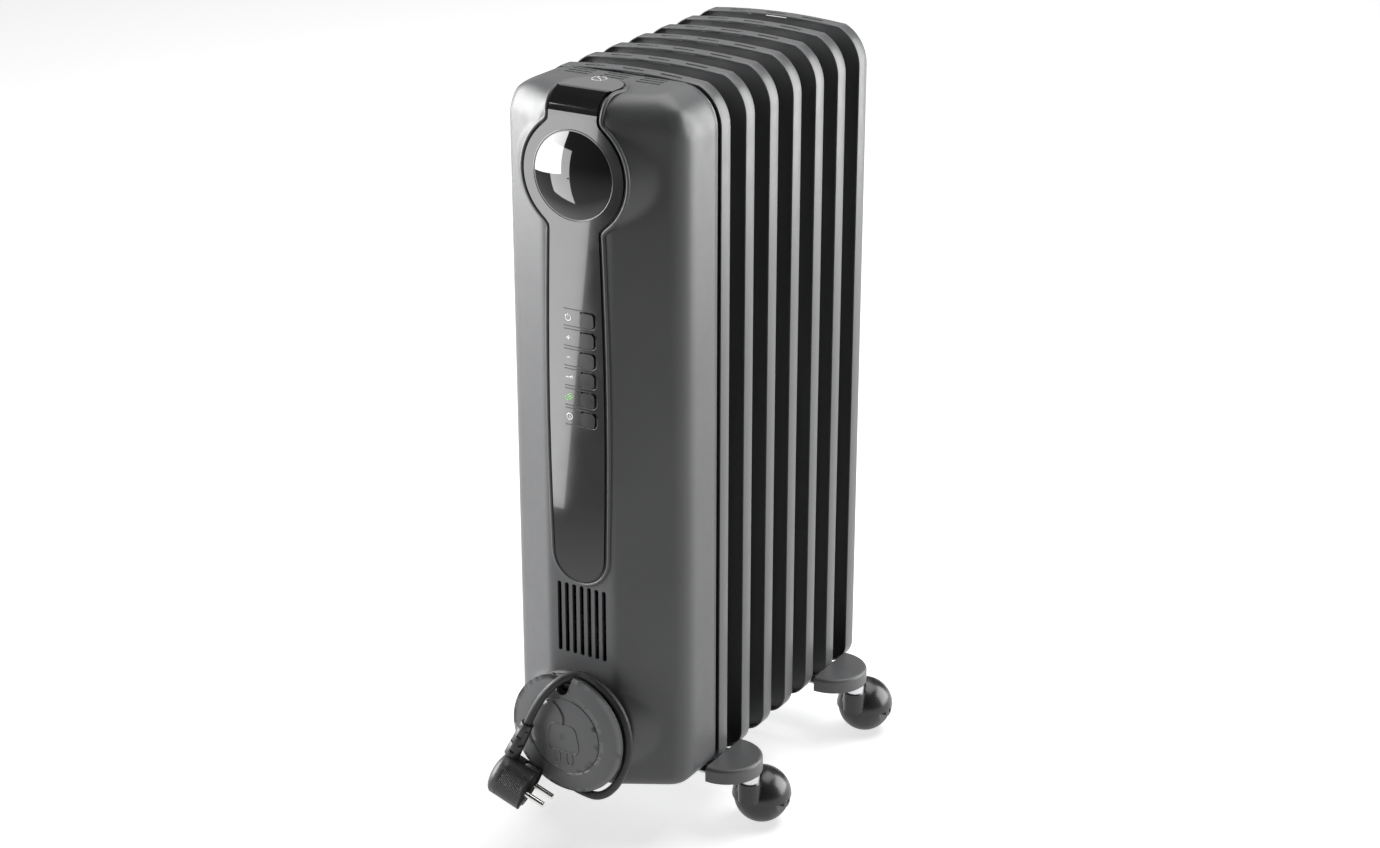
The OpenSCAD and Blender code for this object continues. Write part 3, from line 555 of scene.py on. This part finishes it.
def edgeRadius(a, b):
    # how far each edge of the blank is rounded, by where it lies
    half, front = housingHigh[0], housingLow[1]
    shoulder = front + housingSetup["bevelDepth"]
    near = 0.4 * mm
    middle = (a + b) / 2
    if abs(a.z - b.z) > 100 * mm:
        if abs(middle.y - shoulder) < near:
            return 13 * mm
        return 2.8 * mm if abs(middle.y - front) < near else 0
    if middle.y > housingHigh[1] - near:
        return 0
    isTop = middle.z > displayZ
    if abs(middle.y - front) < near:
        return 18 * mm if isTop else 8 * mm
    if abs(abs(middle.x) - half) < near:
        return 33 * mm if isTop else 16 * mm
    return 25 * mm if isTop else 12 * mm


def addHousing():
    low, high = housingLow, housingHigh
    half, front = high[0], low[1]
    shoulder = front + housingSetup["bevelDepth"]
    shell = boxCutter((-half, front, low[2]), (half, high[1], high[2]))
    activate(shell)
    bpy.ops.object.mode_set(mode='EDIT')
    for side in (-1, 1):            # the two bevels beside the flat front
        bpy.ops.mesh.select_all(action='SELECT')
        along = Vector((side * (half - housingSetup["flatHalf"]), shoulder - front, 0))
        out = Vector((side * along.y, -abs(along.x), 0)).normalized()
        bpy.ops.mesh.bisect(plane_co=(side * half, shoulder, 0), plane_no=out, use_fill=True,
                            clear_outer=True)
    bpy.ops.mesh.select_all(action='SELECT')
    bpy.ops.mesh.normals_make_consistent(inside=False)
    bpy.ops.object.mode_set(mode='OBJECT')
    weights = shell.data.attributes.new("bevel_weight_edge", 'FLOAT', 'EDGE')
    for edge in shell.data.edges:
        ends = [shell.data.vertices[v].co for v in edge.vertices]
        weights.data[edge.index].value = edgeRadius(*ends) / housingSetup["roundest"]
    rounding = shell.modifiers.new("rounding", 'BEVEL')
    rounding.limit_method = 'WEIGHT'
    rounding.offset_type = 'OFFSET'
    rounding.width = housingSetup["roundest"]
    rounding.segments = 8
    bpy.ops.object.modifier_apply(modifier="rounding")
    for z in (displayZ, winderZ):   # the two drums that swell out of the bevels
        clearSelection()
        bpy.ops.mesh.primitive_cone_add(vertices=128, radius1=housingSetup["drumRear"],
                                        radius2=housingSetup["drumFront"], depth=housingSetup["drumDepth"],
                                        location=(0, front + housingSetup["drumDepth"] / 2, z),
                                        rotation=(math.radians(90), 0, 0))
        drum = bpy.context.object
        applyPlace(drum)
        cut(shell, drum, 'UNION')
    activate(shell)
    bpy.ops.object.mode_set(mode='EDIT')    # nothing of a drum stands out below or behind
    for co, no in (((0, 0, low[2]), (0, 0, -1)), ((0, high[1], 0), (0, 1, 0))):
        bpy.ops.mesh.select_all(action='SELECT')
        bpy.ops.mesh.bisect(plane_co=co, plane_no=no, use_fill=True, clear_outer=True)
    bpy.ops.object.mode_set(mode='OBJECT')
    remesh = shell.modifiers.new("even", 'REMESH')
    remesh.mode = 'VOXEL'
    remesh.voxel_size = housingSetup["voxel"]
    bpy.ops.object.modifier_apply(modifier="even")
    soften = shell.modifiers.new("soften", 'SMOOTH')
    soften.factor = 0.5
    soften.iterations = housingSetup["smoothing"]
    bpy.ops.object.modifier_apply(modifier="soften")
    activate(shell)
    bpy.ops.object.mode_set(mode='EDIT')    # the back is open
    bpy.ops.mesh.select_all(action='SELECT')
    bpy.ops.mesh.bisect(plane_co=(0, high[1] - 2.5 * mm, 0), plane_no=(0, 1, 0), clear_outer=True)
    bpy.ops.object.mode_set(mode='OBJECT')
    pickVertices(shell, lambda co: co.y > high[1] - 2.6 * mm)
    bpy.ops.mesh.select_mode(type='EDGE')
    bpy.ops.mesh.extrude_edges_move(TRANSFORM_OT_translate={"value": (0, 2.5 * mm, 0)})
    bpy.ops.object.mode_set(mode='OBJECT')
    thin = shell.modifiers.new("thin", 'DECIMATE')
    thin.ratio = 0.3
    bpy.ops.object.modifier_apply(modifier="thin")
    wall = shell.modifiers.new("wall", 'SOLIDIFY')
    wall.thickness = housingSetup["wall"]
    wall.offset = -1
    bpy.ops.object.modifier_apply(modifier="wall")
    named("housing_shell")
    cutters = []
    ventLow, ventHigh = winderZ + 60.5 * mm, winderZ + 123.5 * mm
    for k in range(housingSetup["vents"]):
        x = (k - (housingSetup["vents"] - 1) / 2) * housingSetup["ventPitch"]
        slotCutter = boxCutter((x - housingSetup["ventHalf"], front - 3 * mm, ventLow),
                               (x + housingSetup["ventHalf"], front + 6 * mm, ventHigh))
        bevelEdges(slotCutter, 1.7 * mm, 4, 60)
        cutters.append(slotCutter)
    for k in (-1, 0, 1):
        for row in range(3):
            x, y = k * 33 * mm - 3 * mm, high[1] - 4.5 * mm - row * 6 * mm
            cutters.append(boxCutter((x - 11 * mm, y - 1.2 * mm, high[2] - 6 * mm),
                                     (x + 11 * mm, y + 1.2 * mm, high[2] + 3 * mm)))
    for key in keyNames:
        keyLow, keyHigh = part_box("button_" + key)
        cutters.append(boxCutter((keyLow[0] + 0.8 * mm, front - 2 * mm, keyLow[2] + 0.8 * mm),
                                 (keyHigh[0] - 0.8 * mm, front + 6 * mm, keyHigh[2] - 0.8 * mm)))
    cutters.append(boxCutter((-26 * mm, front - 2 * mm, displayZ - 18 * mm),
                             (26 * mm, front + 6 * mm, displayZ + 18 * mm)))
    cut(shell, joinPieces(cutters, "housingCuts"))
    activate(shell)
    bpy.ops.object.shade_smooth_by_angle(angle=math.radians(32))
    finish(shell, "heater", finishes["housing"], ("housing",))


iconSetup = {
    "x": -7 * mm, "half": 2.6 * mm, "line": 0.6 * mm,
    "ridgeLeft": -11 * mm, "ridgeRight": 19.4 * mm, "ridgeHalf": 7.1 * mm, "ridgeCorner": 5 * mm,
    "ridgeWidth": 0.9 * mm,
}


def arc(radius, start, end, steps):
    # points of an arc, in degrees from the right, anticlockwise
    turns = [math.radians(start + (end - start) * k / steps) for k in range(steps + 1)]
    return [(radius * math.cos(a), radius * math.sin(a)) for a in turns]


def addIcon(key, strokes, material):
    keyLow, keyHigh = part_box("button_" + key)
    z = (keyLow[2] + keyHigh[2]) / 2
    made = []
    for count, (points, closed) in enumerate(strokes):
        places = [Vector((iconSetup["x"] + px, bandFront + 0.1 * mm, z + pz)) for px, pz in points]
        made.append(strokeFrom(places, iconSetup["line"], "stroke_%d" % count, closed))
    icon = joinPieces(made, "icon_" + key)
    finish(icon, "heater", material)


def addIcons():
    h = iconSetup["half"]
    ring = arc(h, 0, 330, 11)
    bulb = [(px + 0.95 * h, pz) for px, pz in arc(0.4 * h, 0, 330, 11)]
    strokes = {
        "power": [(arc(h, 120, 420, 12), False), ([(0, 0.3 * h), (0, 1.25 * h)], False)],
        "plus": [([(-0.7 * h, 0), (0.7 * h, 0)], False), ([(0, -0.7 * h), (0, 0.7 * h)], False)],
        "minus": [([(-0.7 * h, 0), (0.7 * h, 0)], False)],
        "mode": [([(-1.2 * h, 0), (0.6 * h, 0)], False), (bulb, True)],
        "eco": [([(-1.3 * h, -0.9 * h), (-0.2 * h, 0.7 * h), (1.3 * h, 0.9 * h), (0.5 * h, -0.6 * h)], True),
                ([(-1.3 * h, -0.9 * h), (0, 0), (0.8 * h, 0.5 * h)], False)],
        "timer": [(ring, True), ([(0, 0.65 * h), (0, 0), (0.5 * h, -0.35 * h)], False)],
    }
    for key in keyNames:
        addIcon(key, strokes[key], finishes["leaf" if key == "eco" else "icon"])


def addRidges():
    # a thin ridge round each key, open to the left
    left, right = iconSetup["ridgeLeft"], iconSetup["ridgeRight"]
    h, r = iconSetup["ridgeHalf"], iconSetup["ridgeCorner"]
    for key in keyNames:
        keyLow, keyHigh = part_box("button_" + key)
        z = (keyLow[2] + keyHigh[2]) / 2
        upper = [(left, h), ((left + right - r) / 2, h)]
        upper += [(right - r + px, h - r + pz) for px, pz in arc(r, 90, 0, 5)]
        route = upper + [(px, -pz) for px, pz in reversed(upper)]
        beadFrom([Vector((px, bandFront + 0.15 * mm, z + pz)) for px, pz in route], iconSetup["ridgeWidth"],
                 "ridge_" + key, finishes["ridge"])


def addRings():
    # the thin ring round the lens and the mark on the cap
    lensRadius = (lensHigh[0] - lensLow[0]) / 2
    rim = [Vector((px, bandFront + 0.1 * mm, displayZ + pz))
           for px, pz in arc(lensRadius + 1.2 * mm, 0, 345, 23)]
    beadFrom(rim, 0.9 * mm, "lens_ring", finishes["ridge"], closed=True)
    centre = Vector((-5 * mm, -102 * mm, bandHigh[2] - 0.2 * mm))
    circle = [centre + Vector((px, pz, 0)) for px, pz in arc(6 * mm, 0, 345, 23)]
    slash = [centre + Vector((-4.2 * mm, 4.2 * mm, 0)), centre + Vector((4.2 * mm, -4.2 * mm, 0))]
    marks = [strokeFrom(circle, 0.6 * mm, "capRing", True), strokeFrom(slash, 0.6 * mm, "capSlash")]
    finish(joinPieces(marks, "cap_mark"), "heater", finishes["icon"])


discSetup = {"dome": 204.1 * mm, "grooveRadius": 34 * mm, "groove": 0.7 * mm, "line": 1.3 * mm}


def onDisc(px, pz):
    # a point of the disc's domed face, from its middle
    sag = discSetup["dome"] - math.sqrt(discSetup["dome"] ** 2 - (px * px + pz * pz))
    middleX = (discLow[0] + discHigh[0]) / 2
    middleZ = (discLow[2] + discHigh[2]) / 2
    return Vector((middleX + px, discLow[1] + sag, middleZ + pz))


def addDisc():
    # the winder's disc with a groove cut round it and a raised plug and lead
    face = copyNode("winder_disc", "winder_face")
    clearSelection()
    middle = onDisc(0, 0)
    grooveRadius = discSetup["grooveRadius"]
    bpy.ops.mesh.primitive_torus_add(location=(middle.x, onDisc(grooveRadius, 0).y, middle.z),
                                     rotation=(math.radians(90), 0, 0), major_radius=grooveRadius,
                                     minor_radius=discSetup["groove"], major_segments=96, minor_segments=10)
    groove = bpy.context.object
    applyPlace(groove)
    cut(face, groove)
    activate(face)
    bpy.ops.object.shade_smooth_by_angle(angle=math.radians(30))
    finish(face, "heater", finishes["disc"], ("winder_disc",))
    corner = [(7 * mm + px, 5 * mm + pz) for px, pz in arc(6 * mm, 90, 0, 4)]
    right = [(0, 11 * mm)] + corner + [(13 * mm, -13 * mm), (6 * mm, -13.2 * mm)]
    body = right + [(0, -13.3 * mm)] + [(-px, pz) for px, pz in reversed(right[1:])]
    lead = [(0, 11 * mm), (-0.6 * mm, 19 * mm), (-5 * mm, 25 * mm), (-10 * mm, 28.5 * mm)]
    line = discSetup["line"]
    lines = [(body, True, line), (lead, False, line * 2.2)]
    for side in (-1, 1):
        x = side * 6 * mm
        near, far = x - 2.4 * mm, x + 2.4 * mm
        prong = [(near, -13.5 * mm), (near, -23 * mm), (x, -25.4 * mm), (far, -23 * mm), (far, -13.5 * mm)]
        lines.append((prong, False, line))
    made = []
    for count, (points, closed, width) in enumerate(lines):
        made.append(strokeFrom([onDisc(px, pz) for px, pz in points], width, "line_%d" % count, closed))
    finish(joinPieces(made, "winder_mark"), "heater", finishes["disc"])


addFins()
addHousing()
addLip()
addIcons()
addRidges()
addRings()
addDisc()
print("fins, housing, lip and marks made")


cordSetup = {
    "diameter": 7.2 * mm,
    "length": 1.6,
    "firstLayer": 40.0 * mm,
    "secondLayer": 47.2 * mm,
    "lastRadius": 54.8 * mm,
    "depths": (18.4 * mm, 11.2 * mm, 4.0 * mm, 4.0 * mm, 11.0 * mm),   # of each turn behind the disc
    "stepsPerTurn": 24,
}
# the loose last turn and the free end, in mm from the winder's centre: across, up, forwards of the disc
tailRoute = [(-14, -53, -11), (-7, -56, -11), (1, -58, -10), (10, -59.5, -10), (19, -59, -9), (28, -55, -8),
             (36, -48, -8), (43, -38.5, -7), (49, -27, -6), (53, -14, -6), (54.5, 0, -6), (53, 13, -6),
             (49, 24.5, -6), (42.5, 34.5, -6), (34, 43, -5.5), (25, 49, -5), (16.5, 52.5, -4.5),
             (8.5, 53.5, -3), (1.5, 52, 1.2), (-4.5, 48.5, 5.8), (-10, 43, 9.6), (-15, 36.5, 12),
             (-19.5, 29, 13.5), (-23.5, 21.5, 14.5), (-27, 14, 15.3), (-30, 7, 16)]


def smoothStep(t):
    t = max(0.0, min(1.0, t))
    return t * t * (3 - 2 * t)


def windingPoints():
    # five turns, each flat, with a short step across to the next
    points = []
    depths = cordSetup["depths"]
    turns = len(depths)
    endAngle = 360 * turns - 14.8
    steps = cordSetup["stepsPerTurn"]
    total = int(endAngle / 360 * steps)
    for k in range(total):
        angle = k * 360 / steps
        turn = min(turns - 1, int(angle // 360))
        within = angle - 360 * turn
        depth = depths[turn]
        if turn + 1 < turns:
            depth += (depths[turn + 1] - depth) * smoothStep((within - 290) / 70)
        radius = cordSetup["firstLayer"]
        radius += (cordSetup["secondLayer"] - radius) * smoothStep((angle - 3 * 360 + 70) / 70)
        outward = cordSetup["lastRadius"] - cordSetup["secondLayer"]
        radius += outward * smoothStep((angle - endAngle + 80) / 80)
        radius += 3 * mm * (1 - smoothStep(angle / 60))
        depth += 3.6 * mm * (1 - smoothStep(angle / 60))
        turned = math.radians(angle - 90)
        points.append(Vector((winderX + radius * math.cos(turned), discRear + depth,
                              winderZ + radius * math.sin(turned))))
    return points


def tailPoint(across, up, forwards):
    return Vector((winderX + across * mm, discRear - forwards * mm, winderZ + up * mm))


def addCord():
    points = windingPoints() + [tailPoint(*p) for p in tailRoute]
    clearSelection()
    bpy.ops.curve.primitive_bezier_curve_add()
    cord = named("cord")
    cord.location = (0, 0, 0)
    cord.data.splines.clear()
    spline = cord.data.splines.new('BEZIER')
    spline.bezier_points.add(len(points) - 1)
    for knot, point in zip(spline.bezier_points, points):
        knot.co = point
        knot.handle_left_type = 'AUTO'
        knot.handle_right_type = 'AUTO'
    cord.data.dimensions = '3D'
    cord.data.resolution_u = 4
    cord.data.render_resolution_u = 4
    cord.data.bevel_depth = cordSetup["diameter"] / 2
    cord.data.bevel_resolution = 5
    cord.data.use_fill_caps = True
    finish(cord, "heater", finishes["cord"], ("cord_coil", "cord_tail"))
    return cord, points[0]


plugAxes = {"cord": Vector((0.38, 0.18, 0.9)).normalized(), "pins": Vector((0.92, 0.12, -0.38))}
plugSetup = {
    "reliefLength": 33 * mm, "reliefTop": 5.6 * mm, "reliefFoot": 6.8 * mm,
    "radius": 19.5 * mm, "face": 27 * mm, "back": 8 * mm, "centre": -51.5 * mm,
    "ribs": 15, "ribDepth": 0.45 * mm,
}


def plugFrame():
    alongCord = plugAxes["cord"]
    alongPins = alongCord.cross(plugAxes["pins"]).cross(alongCord).normalized()
    aside = alongCord.cross(alongPins)
    turn = Matrix((aside, alongCord, alongPins)).transposed().to_4x4()
    return Matrix.Translation(tailPoint(*tailRoute[-1])) @ turn


def placeOnPlug(piece):
    activate(piece)
    piece.matrix_world = plugFrame()
    bpy.context.view_layer.update()
    bpy.ops.object.transform_apply(location=True, rotation=True, scale=True)


def addRelief():
    # the ringed boot of the cord, with its small slots
    length = plugSetup["reliefLength"]
    clearSelection()
    bpy.ops.mesh.primitive_cone_add(vertices=48, radius1=plugSetup["reliefFoot"],
                                    radius2=plugSetup["reliefTop"], depth=length,
                                    location=(0, -length / 2, 0), rotation=(math.radians(-90), 0, 0))
    boot = named("plug_boot")
    applyPlace(boot)
    for level in range(4):
        for quarter in range(4):
            angle = math.radians(45 + 90 * quarter + 45 * (level % 2))
            reach = plugSetup["reliefTop"] + 0.9 * mm
            middle = Vector((reach * math.cos(angle), -5 * mm - level * 7.4 * mm, reach * math.sin(angle)))
            clearSelection()
            bpy.ops.mesh.primitive_cube_add(size=1, location=middle, rotation=(0, -angle, 0))
            bpy.context.object.scale = (3.2 * mm, 1.5 * mm, 4.6 * mm)
            slotCutter = bpy.context.object
            applyPlace(slotCutter)
            cut(boot, slotCutter)
    bevelEdges(boot, 0.35 * mm, 2, 35)
    placeOnPlug(boot)
    finish(boot, "heater", finishes["plug"], ("plug_relief",))
    return boot


def addPlugBody():
    radius, face, back = plugSetup["radius"], plugSetup["face"], plugSetup["back"]
    centre = plugSetup["centre"]
    clearSelection()
    bpy.ops.mesh.primitive_cylinder_add(vertices=96, radius=radius, depth=face + back,
                                        location=(0, centre, (face - back) / 2))
    body = named("plug_shell")
    applyPlace(body)
    # rings are inset in the back, then it is bowed to a low dome
    pickFaces(body, lambda c, n: n.z < -0.9)
    for inset in (1.6, 3.4, 5.0, 5.0):
        bpy.ops.mesh.inset(thickness=inset * mm, depth=0)
    bpy.ops.object.mode_set(mode='OBJECT')
    for vertex in body.data.vertices:
        reach = Vector((vertex.co.x, vertex.co.y - centre)).length
        if vertex.co.z < 0:
            vertex.co.z = -back * math.sqrt(max(0.0, 1 - (reach / radius) ** 2 * 0.98))
    # fine grip ribs round the side
    ribCutters = []
    for k in range(plugSetup["ribs"]):
        place = 4 * mm + k * 1.45 * mm
        bpy.ops.mesh.primitive_torus_add(major_radius=radius + 0.25 * mm, minor_radius=0.5 * mm,
                                         major_segments=96, minor_segments=8, location=(0, centre, place))
        ribCutters.append(bpy.context.object)
        applyPlace(bpy.context.object)
    cut(body, joinPieces(ribCutters, "ribs"))
    # seat of the boot, and the channels of the two earth clips
    clearSelection()
    bpy.ops.mesh.primitive_cylinder_add(vertices=48, radius=7 * mm, depth=36 * mm,
                                        location=(0, -15.5 * mm, 0), rotation=(math.radians(90), 0, 0))
    seat = bpy.context.object
    applyPlace(seat)
    cut(body, seat)
    for side in (-1, 1):
        outer = centre + side * (radius + 1 * mm)
        inner = centre + side * (radius - 2.7 * mm)
        cut(body, boxCutter((-3.2 * mm, min(outer, inner), face - 14 * mm),
                            (3.2 * mm, max(outer, inner), face + 1 * mm)))
        clearSelection()
        bpy.ops.mesh.primitive_cylinder_add(vertices=32, radius=2.45 * mm, depth=9 * mm,
                                            location=(side * 9.5 * mm, centre, face - 3.4 * mm))
        applyPlace(bpy.context.object)
        cut(body, bpy.context.object)
    bevelEdges(body, 0.4 * mm, 2, 40)
    placeOnPlug(body)
    finish(body, "heater", finishes["plug"], ("plug_body",))
    return body


def addPlugMetal():
    face, centre = plugSetup["face"], plugSetup["centre"]
    pins = []
    for side in (-1, 1):
        clearSelection()
        bpy.ops.mesh.primitive_cylinder_add(vertices=32, radius=2.4 * mm, depth=27 * mm,
                                            location=(side * 9.5 * mm, centre, face - 8 * mm + 13.5 * mm))
        pin = named("pin")
        applyPlace(pin)
        pickFaces(pin, lambda c, n: n.z > 0.9)
        bpy.ops.mesh.bevel(offset=1.3 * mm, segments=4, affect='EDGES')
        bpy.ops.object.mode_set(mode='OBJECT')
        pins.append(pin)
    pinPair = joinPieces(pins, "plug_prongs")
    bpy.ops.object.shade_smooth_by_angle(angle=math.radians(40))
    placeOnPlug(pinPair)
    finish(pinPair, "heater", finishes["plug_metal"], ("plug_pins",))
    clips = []
    for side in (-1, 1):
        reach = centre + side * (plugSetup["radius"] - 2.2 * mm)
        clip = boxCutter((-3 * mm, reach - 0.6 * mm, face - 14 * mm),
                         (3 * mm, reach + 0.6 * mm, face - 0.4 * mm))
        activate(clip)
        bpy.ops.object.mode_set(mode='EDIT')
        bpy.ops.mesh.select_all(action='SELECT')
        bpy.ops.mesh.subdivide(number_cuts=5)
        bpy.ops.object.mode_set(mode='OBJECT')
        for vertex in clip.data.vertices:       # the clip bows out along its length
            along = (vertex.co.z - face + 14 * mm) / (13.6 * mm)
            vertex.co.y += side * 1.2 * mm * math.sin(math.pi * along)
        clips.append(clip)
    pair = joinPieces(clips, "earth_springs")
    bevelEdges(pair, 0.2 * mm, 2, 40)
    placeOnPlug(pair)
    finish(pair, "heater", finishes["plug_metal"], ("earth_clips",))
    return pinPair, pair


cord, cordStart = addCord()
boot = addRelief()
plugBody = addPlugBody()
prongs, springs = addPlugMetal()
print("cord and plug made")

glossSetup = {"place": (-0.615, -0.733, 0.349), "wide": 0.5, "tall": 0.75, "lean": 6.7, "watts": 6.5}


def addGloss():
    # a soft panel seen only in the polished black pieces
    clearSelection()
    bpy.ops.object.light_add(type='AREA', location=glossSetup["place"],
                             rotation=(math.radians(90), math.radians(glossSetup["lean"]), 0))
    lamp = bpy.context.object
    lamp.name = "light_gloss"
    lamp.data.shape = 'RECTANGLE'
    lamp.data.size = glossSetup["wide"]
    lamp.data.size_y = glossSetup["tall"]
    lamp.data.energy = glossSetup["watts"]
    polished = bpy.data.collections.new("polished")
    for piece in list(bpy.context.scene.objects):
        if piece.name.startswith(("control_band", "display_lens", "lens_ring", "button_", "ridge_", "icon_")):
            polished.objects.link(piece)
    lamp.light_linking.receiver_collection = polished


addGloss()
print("gloss panel set")
